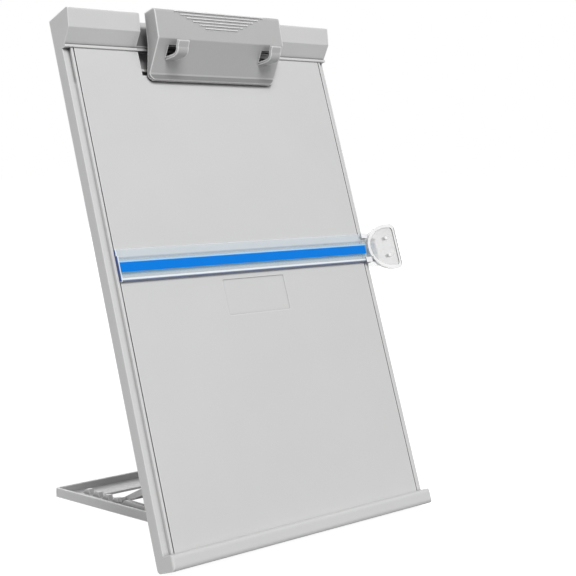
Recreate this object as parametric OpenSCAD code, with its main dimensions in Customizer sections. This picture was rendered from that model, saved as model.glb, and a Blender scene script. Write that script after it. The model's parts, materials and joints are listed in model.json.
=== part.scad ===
// Desk copy holder: a leaning board with a sprung paper clip, a clear line
// guide that slides on the right rail, and a prop and base that fold behind.
// The board is drawn upright and then leaned. Its outlines are given as
// [depth, height]: depth grows to the front, height runs up the board.

/* [Board] */
// Width of the board
board_w = 228; // [200:1:260]
// Height of the board, measured along it
board_h = 348; // [320:1:400]
// Lean of the board from the table, in degrees
lean_angle = 72; // [66:0.5:76]
// Depth of the side rails
rail_depth = 8.1; // [7.2:0.1:10]
// Width of the lower land along each rail
land_w = 4.6; // [3.6:0.1:6]
// Width of the raised lip beside the land
lip_w = 1.6; // [1:0.1:2.2]
// Height of the lip and panel above the land
lip_rise = 2.6; // [2:0.1:3.2]
// Groove between the lip and the front panel
groove_w = 0.8; // [0.4:0.1:1.2]
// Thickness of the moulded walls
wall = 2; // [1.6:0.1:2.4]
// Radius of the rear bottom edge, about which the board tilts
heel_r = 2.6; // [2:0.2:4]
// Gap between that edge and the table, when the board leans on its prop
heel_gap = 0.6; // [0.2:0.1:0.8]
// Thickness of the front panel
panel_t = 2.6; // [2:0.1:3]
// Thickness of the rear cover
cover_t = 2; // [1.6:0.1:2.4]
// Width of the shelf on which the panel's edges are bonded
panel_shelf = 9; // [7:0.5:12]

/* [Label recess] */
// Width of the bare recess in the panel
label_w = 54; // [40:1:70]
// Height of the bare recess
label_h = 23.5; // [16:0.5:30]
// Depth of the bare recess
label_depth = 0.5; // [0.3:0.1:0.8]
// Height of its middle on the board
label_v = 158; // [120:1:180]

/* [Header bar] */
// Height of the header bar
header_h = 23; // [20:0.5:28]
// Depth of the header at its top
header_depth = 21.5; // [20:0.5:24]
// Distance of the ridge below the header's top
ridge_drop = 12.5; // [10:0.5:14]
// Depth of the header at the ridge
ridge_depth = 18.9; // [17:0.1:22]
// Depth of the lip under the header
header_lip_depth = 11.9; // [11.4:0.1:13]
// Height of the lip under the header
header_lip_h = 1.8; // [1.2:0.1:2.4]
// Gap between the notch and each end of the clip
notch_gap = 3.6; // [2:0.1:4]

/* [Paper ledge] */
// Height of the ledge
ledge_h = 9.8; // [8:0.1:14]
// Depth of the ledge
ledge_depth = 16.8; // [15:0.1:24]
// Radius of the ledge's lower front edge
ledge_low_r = 3; // [2:0.1:4]
// Radius of the ledge's upper front edge
ledge_top_r = 2.4; // [1:0.1:3]
// Radius of the ledge's upright end corners
ledge_end_r = 1.9; // [1:0.1:4]

/* [Clip] */
// Width of the clip lever
clip_w = 109.5; // [90:0.5:130]
// Height of the clip lever
clip_h = 42.8; // [41:0.2:44]
// Depth of the clip at its top
clip_depth = 33; // [30:0.5:36]
// Distance of the clip's ridge below its top
clip_ridge_drop = 20.2; // [18:0.2:21]
// Depth of the clip at its ridge
clip_ridge_depth = 31.2; // [29:0.1:34]
// Depth of the clip's lower front edge
clip_toe_depth = 15; // [14.6:0.1:17]
// Height of the upright lip along the clip's lower edge
clip_lip_h = 3.8; // [3:0.1:5]
// Radius of the clip's lower corners, as seen from the front
clip_corner_r = 5; // [3:0.5:7]
// Number of grip ribs
rib_count = 6; // [3:1:7]
// Spacing of the grip ribs
rib_pitch = 2.1; // [1.8:0.1:2.3]
// Length of the longest grip rib
rib_len = 78; // [60:1:84]
// Shortening from each rib to the next
rib_step = 10; // [8:0.2:11]
// Height that the ribs stand proud
rib_rise = 0.7; // [0.4:0.1:1]
// Width of each parking hook
hook_w = 8.8; // [8:0.1:13]
// Distance from a hook to the clip's end
hook_inset = 9.7; // [8:0.1:14]
// Thickness of a hook
hook_t = 2; // [1.6:0.1:2.4]
// How far the hook's tab stands in front of the ridge
hook_reach = 6.3; // [4:0.1:7]
// Height of the window behind each hook
window_h = 6.6; // [6:0.1:8]
// Margin of the opening in the panel behind the clip, beyond each end
relief_gap = 2.4; // [1:0.1:3]
// Height of the windows above the clip's lower edge
window_rise = 12.7; // [12:0.1:14]
// Diameter of the clip's pivot pin
clip_pin_d = 3; // [2.5:0.1:3.5]
// Distance between the two ears of the clip bracket
ear_span = 44; // [36:1:56]
// Turns in each clip spring
clip_spring_turns = 5; // [3:1:6]
// Wire of the clip springs
clip_wire_d = 1.2; // [1:0.05:1.3]

/* [Line guide] */
// Height of the guide's middle on the board
guide_v = 183.6; // [60:0.2:280]
// Height of the clear ruler
ruler_h = 20.6; // [18:0.2:23]
// Height of the thin flange along the ruler's upper edge
flange_h = 4.4; // [3:0.1:5]
// Thickness of the thin flange
flange_t = 1; // [0.8:0.1:1.2]
// Thickness of the clear ruler
ruler_t = 2; // [1.6:0.1:2.4]
// Gap between the ruler and the panel, for the paper
paper_gap = 0.5; // [0.3:0.1:0.8]
// Distance from the ruler's tip to the board's left side
ruler_inset = 6; // [3:0.5:12]
// Height of the coloured stripe
stripe_h = 5.6; // [4:0.1:7]
// Distance of the stripe's middle below the ruler's middle
stripe_drop = 1.2; // [0:0.1:2]
// Height of the thumb plates
thumb_h = 32.8; // [28:0.2:36]
// Distance of the thumb plates' middle below the ruler's middle
thumb_drop = 0.8; // [0:0.1:1.6]
// Reach of the thumb plates beyond the board
thumb_reach = 27.5; // [25:0.5:32]
// Width of the raised rim of the front thumb plate
thumb_rim = 2.4; // [1.6:0.1:3]
// Distance between the two studs
stud_gap = 12.6; // [10:0.2:14]
// Diameter of the guide's hinge pin
guide_pin_d = 2; // [1.6:0.1:2.2]
// Turns in the guide's spring
guide_spring_turns = 3; // [2:1:3]
// Wire of the guide's spring
guide_wire_d = 0.8; // [0.6:0.05:0.9]

/* [Stand] */
// Width of the base at its rear
base_w = 108.5; // [98:0.5:112]
// Width of the base at its hinge
base_front_w = 85.5; // [84:0.5:94]
// Length of the base behind the hinge
base_l = 189; // [186:0.2:205]
// Height of the base's walls
base_h = 6.4; // [6:0.1:8]
// Thickness of the base's walls
base_wall = 1.8; // [1.4:0.1:2.2]
// Thickness of the base's floor
base_floor = 1.6; // [1.2:0.1:2]
// Depth of the base's rear floor
rear_floor = 24; // [18:0.5:26]
// Depth of the floor strip beside the hinge
front_floor = 20; // [16:1:30]
// Width of the opening in the base's floor
base_window = 58; // [54:1:60]
// Number of teeth on each rack
tooth_count = 4; // [3:1:4]
// Spacing of the teeth
tooth_pitch = 11.5; // [11:0.1:12.4]
// Height of the teeth above the floor
tooth_rise = 3.2; // [2.8:0.1:3.6]
// Length of each tooth along the rack
tooth_l = 8.6; // [8:0.1:9]
// Distance from the hinge to the face of the tooth that holds the prop
tooth_hold = 136.8; // [134:0.2:139]
// Slope of the teeth's front faces, away from upright
tooth_slope = 22; // [16:1:30]
// Length of the flat top of each tooth
tooth_flat = 3.2; // [2:0.1:3.4]
// Thickness of each rack
rack_t = 4; // [3:0.5:5]
// Distance of the prop's hinge up the board
prop_v = 62.4; // [58:0.4:68]
// Distance of the prop's hinge behind the board
prop_back = 5; // [4.6:0.1:6]
// Thickness of the prop's arms
prop_arm_t = 3; // [2.5:0.1:4]
// Depth of the prop's arms
prop_depth = 6; // [4.8:0.1:6.6]
// Diameter of the prop's foot bar
foot_d = 3.6; // [3.4:0.1:4]
// Diameter of the stand's hinge pins
stand_pin_d = 2.6; // [2:0.1:2.8]

/* [Fasteners and fits] */
// Diameter of the screws' heads
screw_head_d = 5.4; // [5:0.1:6]
// Diameter of the screws' shanks
screw_d = 2.6; // [2.2:0.1:3]
// Length of the cover screws
screw_l = 5.6; // [5:0.1:6]
// Width of the cross slots in the screws' heads
slot_w = 0.7; // [0.5:0.1:0.9]
// Depth of the cross slots in the screws' heads
slot_depth = 0.8; // [0.5:0.1:1]
// Gap around a pin that turns in its bore
run_gap = 0.05; // [0.03:0.01:0.1]
// Gap between fixed pieces
seat_gap = 0.1; // [0.05:0.05:0.2]
// Gap between pieces that move past each other
move_gap = 0.4; // [0.3:0.05:0.6]
// Play between the prop's foot and the tooth that holds it
foot_gap = 0.4; // [0.3:0.05:0.6]

/* [Hidden] */
$fn = 48;

// Board: heights and depths that follow from the sizes above
panel_front = rail_depth + lip_rise;
panel_back = panel_front - panel_t;
shelf_back = panel_back - wall;
panel_side = land_w + lip_w + groove_w;
header_v = board_h - header_h;
header_ridge_v = board_h - ridge_drop;
header_back_drop = 2;
notch_w = clip_w + 2 * notch_gap;
notch_v = header_v + header_lip_h + 1.5;
panel_low_v = ledge_h - 1.6;
panel_top_v = header_v + 1.2;
cover_edge = wall + seat_gap;
rib_t = 1.6;

// How far the board's corner is let down, so that its round heel just clears
heel_drop = heel_r * (sin(lean_angle) + cos(lean_angle) - 1) - heel_gap;

// Clip: outline and pivot
clip_top_v = board_h - 1;
clip_low_v = clip_top_v - clip_h;
clip_ridge_v = clip_top_v - clip_ridge_drop;
clip_t = 2;
clip_heel_depth = panel_front + 1.6;
clip_back_top = header_depth + 0.8;
clip_back_mid = ridge_depth + 0.4;
clip_pivot = [header_lip_depth + 4.2, header_ridge_v - 3.5];
clip_face_low_v = clip_low_v + clip_lip_h;
relief_half = clip_w / 2 + relief_gap;
relief_low_v = clip_low_v + 4.2;
clip_slope = (clip_ridge_depth - clip_toe_depth) / (clip_ridge_v - clip_face_low_v);
window_low_v = clip_low_v + window_rise;
bracket_t = 1.2;
ear_r = 3.4;
ear_t = 1.5;
lever_ear_t = 2.6;
bracket_w = ear_span + 2 * ear_t;
clip_coil_r = clip_pin_d / 2 + 1.3 + clip_wire_d / 2;
clip_coil_pitch = clip_wire_d + 0.5;

// Guide: depths across the rail
ruler_back = panel_front + paper_gap;
ruler_front = ruler_back + ruler_t;
guide_axis = [board_w / 2 + 3.2, 6];
guide_knuckle_r = 2.6;
back_jaw_t = 2;
back_jaw_front = -move_gap;
back_jaw_back = back_jaw_front - back_jaw_t;
ear_out = ruler_h / 2 - 0.5;
ear_h = 2.2;
ruler_x0 = -board_w / 2 + ruler_inset;
ruler_x1 = guide_axis[0] + guide_knuckle_r;
stripe_t = 0.4;
stripe_x0 = ruler_x0 + 1.5;
stripe_x1 = board_w / 2 - 8;
boss_x0 = board_w / 2 - 7;
boss_w = 6;
boss_h = 3.6;
boss_rise = 0.9;
thumb_near = guide_axis[0] - 7.2;
thumb_far = board_w / 2 + thumb_reach;
thumb_back = ruler_front + seat_gap;
thumb_t = 1.4;
thumb_rim_rise = 0.9;
thumb_corner_r = 4;
stud_x = board_w / 2 + 17.1;
stud_d = 2.6;
jaw_in = board_w / 2 - 13;
pad_end = 2;
guide_coil_r = guide_pin_d / 2 + 0.7 + guide_wire_d / 2;
guide_coil_pitch = guide_wire_d + 0.5;

// Stand: the hinge axis of the base, its floor and the prop's triangle
hinge_z = base_h / 2;
hinge_y = 6.5;
strip_y = hinge_y + 7.5;
origin_y = strip_y + front_floor / 2;
base_rear_y = hinge_y + base_l;
window_front_y = strip_y + front_floor;
window_rear_y = base_rear_y - rear_floor;
hinge_on_board = [-hinge_y * sin(lean_angle) + (hinge_z + heel_drop) * cos(lean_angle),
    hinge_y * cos(lean_angle) + (hinge_z + heel_drop) * sin(lean_angle)];
hold_y = hinge_y + tooth_hold;
foot_lift = foot_d / 2 + 0.5;
foot_point = [hold_y + foot_lift * tan(tooth_slope) - (foot_d / 2 + foot_gap) / cos(tooth_slope),
    base_floor + foot_lift];
prop_point = [prop_v * cos(lean_angle) + prop_back * sin(lean_angle),
    prop_v * sin(lean_angle) - prop_back * cos(lean_angle) - heel_drop];
prop_run = foot_point - prop_point;
prop_l = norm(prop_run);
prop_slope = atan2(-prop_run[1], prop_run[0]);
rack_in = base_window / 2 + 3.5;
arm_out = rack_in - 1;
lug_t = 4;
prop_lug_out = arm_out - prop_arm_t - move_gap;
base_lug_out = base_front_w / 2 - base_wall - move_gap;
lug_r = base_h / 2 - 0.3;
foot_half = rack_in + rack_t - 0.5;
base_corner_r = base_wall + 0.2;

// Cover screws: two columns, and rows that keep clear of the ledge and header
screw_x = board_w / 2 - wall - 5.6;
screw_rows = [14, 116, 218, header_v - 5];

echo(clip_spring_gap = clip_coil_pitch - clip_wire_d);
echo(guide_spring_gap = guide_coil_pitch - guide_wire_d);
echo(base_hinge = [0, hinge_y - origin_y, hinge_z]);
echo(prop_hinge = [0, prop_point[0] - origin_y, prop_point[1]], prop_slope = prop_slope);
echo(clip_hinge = leaned(0, clip_pivot[0], clip_pivot[1]));
echo(guide_hinge = leaned(guide_axis[0], guide_axis[1], guide_v));

// Where a point on the board comes to when the board leans
function leaned(x, depth, v) = [
    x,
    v * cos(lean_angle) - depth * sin(lean_angle) - origin_y,
    v * sin(lean_angle) + depth * cos(lean_angle) - heel_drop
];

// The direction from one point to another, of length one
function way(a, b) = (b - a) / norm(b - a);

// A closed outline whose corners are rounded, each by its own radius
function rounded(p, r, steps = 6) = [
    for (i = [0 : len(p) - 1])
        let (
            here = p[i],
            u = way(here, p[(i + len(p) - 1) % len(p)]),
            v = way(here, p[(i + 1) % len(p)]),
            half = acos(u * v) / 2,
            centre = here + (u + v) / norm(u + v) * r[i] / sin(half),
            from = here + u * r[i] / tan(half) - centre,
            to = here + v * r[i] / tan(half) - centre,
            turn = atan2(from[0] * to[1] - from[1] * to[0], from * to)
        )
        each (r[i] == 0 ? [here] : [
            for (k = [0 : steps])
                let (a = turn * k / steps)
                centre + [from[0] * cos(a) - from[1] * sin(a), from[0] * sin(a) + from[1] * cos(a)]
        ])
];

// Points of an arc about a centre, between two angles
function arc(centre, r, a0, a1, steps = 10) = [
    for (k = [0 : steps])
        let (a = a0 + (a1 - a0) * k / steps)
        centre + r * [cos(a), sin(a)]
];

// The outline of a strip of even thickness along a line of points
function strip(p, t) = concat(
    [for (i = [0 : len(p) - 1]) p[i] + side_of(p, i) * t / 2],
    [for (i = [len(p) - 1 : -1 : 0]) p[i] - side_of(p, i) * t / 2]
);
function side_of(p, i) =
    let (d = way(p[max(i - 1, 0)], p[min(i + 1, len(p) - 1)]))
    [-d[1], d[0]];

// Leans what is drawn upright on the board, and sets the origin
module on_board() {
    translate([0, -origin_y, -heel_drop])
        rotate([lean_angle - 90, 0, 0])
            children();
}

// Sets the origin for what is drawn lying on the table
module on_table() {
    translate([0, -origin_y, 0])
        children();
}

// A bar across the board from an outline of depths and heights
module across(x0, x1, outline) {
    translate([x0, 0, 0])
        rotate([90, 0, 90])
            mirror([1, 0])
                linear_extrude(x1 - x0)
                    polygon(outline);
}

// A bar across the table from an outline of lengths and heights
module across_table(x0, x1, outline) {
    translate([x0, 0, 0])
        rotate([90, 0, 90])
            linear_extrude(x1 - x0)
                polygon(outline);
}

// A block on the board between two depths
module slab(x0, x1, w0, w1, v0, v1) {
    translate([x0, -w1, v0])
        cube([x1 - x0, w1 - w0, v1 - v0]);
}

// A plate that faces the front, from an outline of widths and heights
module plate(w0, w1) {
    translate([0, -w0, 0])
        rotate([90, 0, 0])
            linear_extrude(w1 - w0)
                children();
}

// A round rod along the width
module rod(x0, x1, depth, height, d) {
    translate([x0, -depth, height])
        rotate([0, 90, 0])
            cylinder(h = x1 - x0, d = d);
}

// A round rod up the board
module upright_rod(x, depth, v0, v1, d) {
    translate([x, -depth, v0])
        cylinder(h = v1 - v0, d = d);
}

// Both sides of the middle plane
module both_sides() {
    children();
    mirror([1, 0, 0])
        children();
}

// ---- Board ----

// Outer outline of the header
function header_outline() = rounded([
    [0, header_v], [header_lip_depth, header_v],
    [header_lip_depth, header_v + header_lip_h],
    [header_lip_depth - 1, header_v + header_lip_h + 0.3],
    [ridge_depth, header_ridge_v], [header_depth, board_h],
    [0, board_h - header_back_drop]
], [0, 0.5, 0.5, 0, 0.8, 1.2, 1]);

// Hollow inside the header
function header_hollow() = [
    [-1, header_v + wall], [header_lip_depth - wall, header_v + header_lip_h + wall],
    [ridge_depth - wall, header_ridge_v], [header_depth - wall, board_h - wall],
    [-1, board_h - wall - header_back_drop]
];

// Outer outline of the ledge
function ledge_outline() = rounded([
    [0, 0], [ledge_depth - 0.4, 0], [ledge_depth, ledge_h], [0, ledge_h]
], [heel_r, ledge_low_r, ledge_top_r, 0]);

// Hollow inside the ledge
function ledge_hollow() = rounded([
    [-1, wall + 3], [wall + 1, wall + 0.4], [ledge_depth - wall - 1, wall],
    [ledge_depth - wall - 0.6, ledge_h - wall], [-1, ledge_h - wall]
], [0, 0, ledge_low_r - 1.4, 1, 0]);

module ledge_body() {
    intersection() {
        across(-board_w / 2, board_w / 2, ledge_outline());
        translate([0, 0, -1])
            linear_extrude(ledge_h + 2)
                polygon(rounded([
                    [-board_w / 2, 1], [-board_w / 2, -ledge_depth],
                    [board_w / 2, -ledge_depth], [board_w / 2, 1]
                ], [0, ledge_end_r, ledge_end_r, 0]));
    }
}

module frame_shell() {
    slab(-board_w / 2, board_w / 2, 0, rail_depth, heel_r + 1, header_v + 1);
    slab(-board_w / 2 + land_w, board_w / 2 - land_w, 0, panel_front, ledge_h - 1, header_v + 1);
    across(-board_w / 2, board_w / 2, header_outline());
    ledge_body();
}

// Post that takes a cover screw
module screw_post(x, v) {
    translate([x, -cover_t - seat_gap, v])
        rotate([90, 0, 0])
            cylinder(h = shelf_back - cover_t - seat_gap + 0.5, d = screw_d + 3.4);
}

module at_cover_screws() {
    for (x = [-screw_x, screw_x])
        for (v = screw_rows)
            translate([x, 0, v])
                rotate([90, 0, 0])
                    children();
}

module board_frame() {
    inner = board_w / 2 - wall;
    hollow_side = board_w / 2 - panel_side + groove_w;
    color([0.80, 0.80, 0.80])
        on_board()
            difference() {
                union() {
                    difference() {
                        frame_shell();
                        // space behind the shelf, closed by the rear cover
                        slab(-inner, inner, -1, shelf_back, ledge_h - wall, header_v + wall + 1);
                        // pocket that takes the front panel
                        slab(-hollow_side, hollow_side, panel_back, panel_front + 1,
                            panel_low_v, header_v);
                        slab(-hollow_side, hollow_side, panel_back, panel_front + 0.2,
                            header_v - 1, panel_top_v + 0.3);
                        // opening inside the shelf
                        slab(-inner + panel_shelf, inner - panel_shelf, -1, panel_front + 1,
                            ledge_h + panel_shelf - wall, header_v - panel_shelf);
                        // opening in the shelf behind the clip
                        slab(-relief_half, relief_half, shelf_back - 1, panel_front + 1,
                            header_v - panel_shelf - 1, header_v);
                        across(-inner, inner, ledge_hollow());
                        header_hollows();
                        notch();
                    }
                    for (x = [-screw_x, screw_x])
                        for (v = screw_rows)
                            screw_post(x, v);
                }
                at_cover_screws()
                    translate([0, 0, cover_t])
                        cylinder(h = screw_l, d = screw_d + 2 * run_gap);
                at_bracket_screws(0)
                    cylinder(h = 12, d = screw_d + 2 * run_gap);
                cover_seat();
            }
}

// Room for the rear cover inside the walls
module cover_seat() {
    slab(-board_w / 2 + wall, board_w / 2 - wall, -1, cover_t + seat_gap,
        heel_r + 1, board_h - wall - header_back_drop);
}

module header_hollows() {
    both_sides()
        across(notch_w / 2 + wall, board_w / 2 - wall, header_hollow());
}

// The gap in the header where the clip sits; the lip runs through below it
module notch() {
    slab(-notch_w / 2, notch_w / 2, rail_depth, header_depth + 1, notch_v, board_h + 1);
    slab(-notch_w / 2 + wall, notch_w / 2 - wall, -1, rail_depth - wall,
        header_v + wall, board_h - wall - header_back_drop);
}

module front_panel() {
    half = board_w / 2 - panel_side;
    color([0.82, 0.82, 0.82])
        on_board()
            difference() {
                slab(-half, half, panel_back + seat_gap, panel_front,
                    panel_low_v + seat_gap, panel_top_v);
                slab(-relief_half, relief_half, 0, panel_front + 1, relief_low_v, panel_top_v + 1);
                plate(panel_front - label_depth, panel_front + 1)
                    polygon(rounded([
                        [-label_w / 2, label_v - label_h / 2], [label_w / 2, label_v - label_h / 2],
                        [label_w / 2, label_v + label_h / 2], [-label_w / 2, label_v + label_h / 2]
                    ], [1, 1, 1, 1]));
            }
}

// An ear on the rear cover that ends round about a hinge point
module lug(x0, x1, point, r, low, high) {
    difference() {
        across(x0, x1, lug_outline(point, r, low, high));
        rod(x0 - 1, x1 + 1, point[0], point[1], stand_pin_d + 2 * run_gap);
    }
}

function lug_outline(point, r, low, high) = concat(
    [[cover_t / 2, low], [cover_t / 2, high]],
    arc(point, r, 90, 270, 16),
    [[-seat_gap, low]]
);

module rear_cover() {
    half = board_w / 2 - cover_edge;
    low = heel_r + 1 + seat_gap;
    lug_foot = 7;
    top = board_h - wall - header_back_drop - seat_gap;
    color([0.76, 0.76, 0.76])
        on_board()
            union() {
                difference() {
                    slab(-half, half, 0, cover_t, low, top);
                    at_cover_screws() {
                        translate([0, 0, -1])
                            cylinder(h = cover_t + 2, d = screw_d + 0.4);
                        translate([0, 0, -0.01])
                            cylinder(h = screw_head_d / 2 - screw_d / 2 + 0.1,
                                d1 = screw_head_d + 0.2, d2 = screw_d + 0.2);
                    }
                }
                cover_ribs();
                both_sides() {
                    lug(prop_lug_out - lug_t, prop_lug_out, [-prop_back, prop_v], lug_r + 0.4,
                        prop_v - lug_foot, prop_v + lug_foot);
                    lug(base_lug_out - lug_t, base_lug_out, hinge_on_board, lug_r,
                        low, low + lug_foot);
                }
            }
}

// Stiffening ribs between the cover and the front panel
module cover_ribs() {
    reach = panel_back - seat_gap;
    edge = board_w / 2 - wall - panel_shelf - 3;
    for (v = [ledge_h + panel_shelf + 3, prop_v, 150, 222, header_v - panel_shelf - 3])
        slab(-edge, edge, cover_t - 0.2, reach, v - rib_t / 2, v + rib_t / 2);
    for (x = [-edge + 6 : (2 * edge - 12) / 4 : edge - 5])
        slab(x - rib_t / 2, x + rib_t / 2, cover_t - 0.2, reach,
            ledge_h + panel_shelf + 3, header_v - panel_shelf - 3);
}

// A countersunk screw whose head is flush, along the given length
module countersunk_screw(length) {
    head = (screw_head_d - screw_d) / 2;
    difference() {
        union() {
            cylinder(h = head, d1 = screw_head_d, d2 = screw_d);
            cylinder(h = length, d = screw_d);
        }
        for (a = [0, 90])
            rotate([0, 0, a])
                translate([-screw_d / 2, -slot_w / 2, -0.1])
                    cube([screw_d, slot_w, slot_depth + 0.1]);
    }
}

module cover_screws() {
    color([0.55, 0.55, 0.57])
        on_board()
            at_cover_screws()
                countersunk_screw(screw_l);
}

// ---- Clip ----

function bracket_low_v() = notch_v + 0.6;
function bracket_top_v() = clip_pivot[1] + ear_r + 4;

module at_bracket_screws(depth) {
    for (x = [-8, 8])
        translate([x, -depth, clip_pivot[1] + 3.6])
            rotate([90, 0, 0])
                children();
}

module clip_bracket() {
    color([0.70, 0.71, 0.73])
        on_board()
            difference() {
                union() {
                    slab(-bracket_w / 2, bracket_w / 2, rail_depth, rail_depth + bracket_t,
                        bracket_low_v(), bracket_top_v());
                    both_sides()
                        across(ear_span / 2, ear_span / 2 + ear_t, concat(
                            [[rail_depth, bracket_low_v()]],
                            arc(clip_pivot, ear_r, -45, 90, 12),
                            [[rail_depth, bracket_top_v()]]
                        ));
                }
                rod(-bracket_w, bracket_w, clip_pivot[0], clip_pivot[1], clip_pin_d + 2 * run_gap);
                at_bracket_screws(0)
                    cylinder(h = 30, d = screw_d + 0.3);
            }
}

module bracket_screws() {
    head_h = 1.4;
    color([0.55, 0.55, 0.57])
        on_board()
            at_bracket_screws(rail_depth + bracket_t)
                difference() {
                    union() {
                        cylinder(h = head_h, d = screw_head_d - 0.6);
                        translate([0, 0, -wall - bracket_t])
                            cylinder(h = wall + bracket_t + 0.1, d = screw_d);
                    }
                    for (a = [0, 90])
                        rotate([0, 0, a])
                            translate([-screw_d / 2, -slot_w / 2, head_h - slot_depth])
                                cube([screw_d, slot_w, head_h]);
                }
}

module clip_pin() {
    half = ear_span / 2 + ear_t + lever_ear_t + 1.6;
    color([0.72, 0.73, 0.75])
        on_board()
            rod(-half, half, clip_pivot[0], clip_pivot[1], clip_pin_d);
}

// Point of a coil about an axis along the width, turned by an angle from its start
function coil_point(centre, r, x0, pitch, a0, turn) =
    [x0 + pitch * abs(turn) / 360, -(centre[0] + r * cos(a0 + turn)), centre[1] + r * sin(a0 + turn)];

// Tube of six sides along a list of points
module tube(points, d, sides = 6) {
    n = len(points);
    rings = [for (i = [0 : n - 1])
        let (
            t = way(points[max(i - 1, 0)], points[min(i + 1, n - 1)]),
            side = cross(t, [0.31, 0.2, 0.93]),
            u = side / norm(side),
            v = cross(t, u)
        )
        for (k = [0 : sides - 1])
            points[i] + d / 2 * (cos(360 * k / sides) * u + sin(360 * k / sides) * v)];
    faces = concat(
        [[for (k = [sides - 1 : -1 : 0]) k]],
        [[for (k = [0 : sides - 1]) (n - 1) * sides + k]],
        [for (i = [0 : n - 2], k = [0 : sides - 1], half = [0, 1])
            let (
                a = i * sides + k,
                b = i * sides + (k + 1) % sides,
                c = a + sides,
                e = b + sides
            )
            half == 0 ? [a, b, e] : [a, e, c]]
    );
    polyhedron(rings, faces);
}

// The coil, a leg that bears on the bracket below the pin, and a leg that
// pushes the lever's front wall forward above the pin, which shuts the jaw
module clip_spring() {
    rings = 8 * clip_spring_turns + 2;
    start = ear_span / 2 - 3 - clip_coil_pitch * (clip_spring_turns + 0.25);
    wind = [for (k = [0 : rings])
        coil_point(clip_pivot, clip_coil_r, start, clip_coil_pitch, 180, -45 * k)];
    rest = rail_depth + bracket_t + clip_wire_d / 2 + 0.05;
    push = clip_ridge_depth - clip_t * 1.25 - clip_wire_d / 2 - 0.1;
    x_end = wind[rings][0];
    v_end = clip_pivot[1] + clip_coil_r;
    color([0.62, 0.63, 0.66])
        tube(concat(
            [[start, -rest, clip_pivot[1] - 2.6],
                [start, -(clip_pivot[0] - clip_coil_r) + 0.3, clip_pivot[1] - 1]],
            wind,
            [[x_end, -clip_pivot[0] - 2, v_end], [x_end, -push, v_end]]
        ), clip_wire_d);
}

module clip_spring_left() {
    on_board()
        mirror([1, 0, 0])
            clip_spring();
}

module clip_spring_right() {
    on_board()
        clip_spring();
}

// Outer outline of the lever, from the jaw round the front to the top
function clip_outline() = rounded([
    [clip_heel_depth, clip_low_v], [clip_toe_depth - 0.4, clip_low_v],
    [clip_toe_depth, clip_face_low_v], [clip_ridge_depth, clip_ridge_v],
    [clip_depth, clip_top_v], [clip_back_top, clip_top_v],
    [clip_back_mid, header_ridge_v - 8.5], [clip_heel_depth, clip_low_v + 3]
], [0.5, 0.6, 0.8, 1.6, 2, 0.5, 0, 0]);

// Space inside the lever, open towards the board
function clip_hollow() = [
    [clip_heel_depth - 4, clip_face_low_v + 0.4],
    [clip_toe_depth - clip_t, clip_face_low_v + 0.4],
    [clip_ridge_depth - clip_t * 1.25, clip_ridge_v + 0.6],
    [clip_depth - clip_t, clip_top_v - clip_t],
    [clip_back_top - 4, clip_top_v - clip_t],
    [clip_back_mid - 6, header_ridge_v - 8.5]
];

// Depth of the lever's sloping lower face at a height
function face_depth(v) = clip_ridge_depth - (clip_ridge_v - v) * clip_slope;

// Centre line of a parking hook: out from the window's lower edge, then up
function hook_line() =
    let (
        start = [face_depth(window_low_v) - 1.4, window_low_v - 0.4],
        tab = clip_ridge_depth + hook_reach - hook_t / 2,
        low = window_low_v - 1.6,
        bend = 4.8
    )
    concat(
        [start],
        arc([tab - bend - 0.6, low + bend], bend, -102, -8, 9),
        [[tab + 1.8, window_low_v + window_h - 0.4]]
    );

module at_hooks() {
    for (s = [-1, 1])
        translate([s * (clip_w / 2 - hook_inset - hook_w / 2), 0, 0])
            children();
}

// One grip rib on the lever's upper face
module grip_rib(i) {
    length = rib_len - i * rib_step;
    v = clip_top_v - 1.4 - i * rib_pitch;
    lean = (clip_depth - clip_ridge_depth) / clip_ridge_drop;
    face = clip_depth - (clip_top_v - v) * lean;
    across(-length / 2, length / 2, rounded([
        [face - 0.6, v - 0.6], [face + rib_rise, v - 0.45],
        [face + rib_rise, v + 0.25], [face - 0.6, v + 0.6]
    ], [0, 0.3, 0.2, 0]));
}

// Bearing ear of the lever, outside the bracket's ear
module lever_ear() {
    x0 = ear_span / 2 + ear_t + move_gap;
    across(x0, x0 + lever_ear_t, concat(
        [[clip_depth - clip_t + 0.3, clip_pivot[1] + 9]],
        arc(clip_pivot, ear_r + 0.4, 90, 270, 14),
        [[face_depth(clip_pivot[1] - 9) - clip_t + 0.3, clip_pivot[1] - 9],
            [clip_ridge_depth - clip_t + 0.3, clip_ridge_v]]
    ));
}

module clip_lever() {
    half = clip_w / 2;
    color([0.70, 0.70, 0.70])
        on_board()
            difference() {
                union() {
                    difference() {
                        lever_body(half);
                        across(-half + clip_t, half - clip_t, clip_hollow());
                        at_hooks()
                            slab(-hook_w / 2, hook_w / 2, 0, clip_ridge_depth + 4,
                                window_low_v, window_low_v + window_h);
                    }
                    at_hooks()
                        across(-hook_w / 2, hook_w / 2, strip(hook_line(), hook_t));
                    for (i = [0 : rib_count - 1])
                        grip_rib(i);
                    both_sides()
                        lever_ear();
                }
                rod(-half, half, clip_pivot[0], clip_pivot[1], clip_pin_d + 2 * run_gap);
                // seat of the jaw strip
                slab(-half + clip_t, half - clip_t, 0, clip_heel_depth + 0.8,
                    clip_low_v + 0.8, clip_low_v + 3.4);
            }
}

// The lever with its lower corners rounded, as seen from the front
module lever_body(half) {
    intersection() {
        across(-half, half, clip_outline());
        plate(-1, clip_depth + 10)
            polygon(rounded([
                [-half, clip_low_v], [half, clip_low_v],
                [half, clip_top_v + 1], [-half, clip_top_v + 1]
            ], [clip_corner_r, clip_corner_r, 1, 1]));
    }
}

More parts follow.
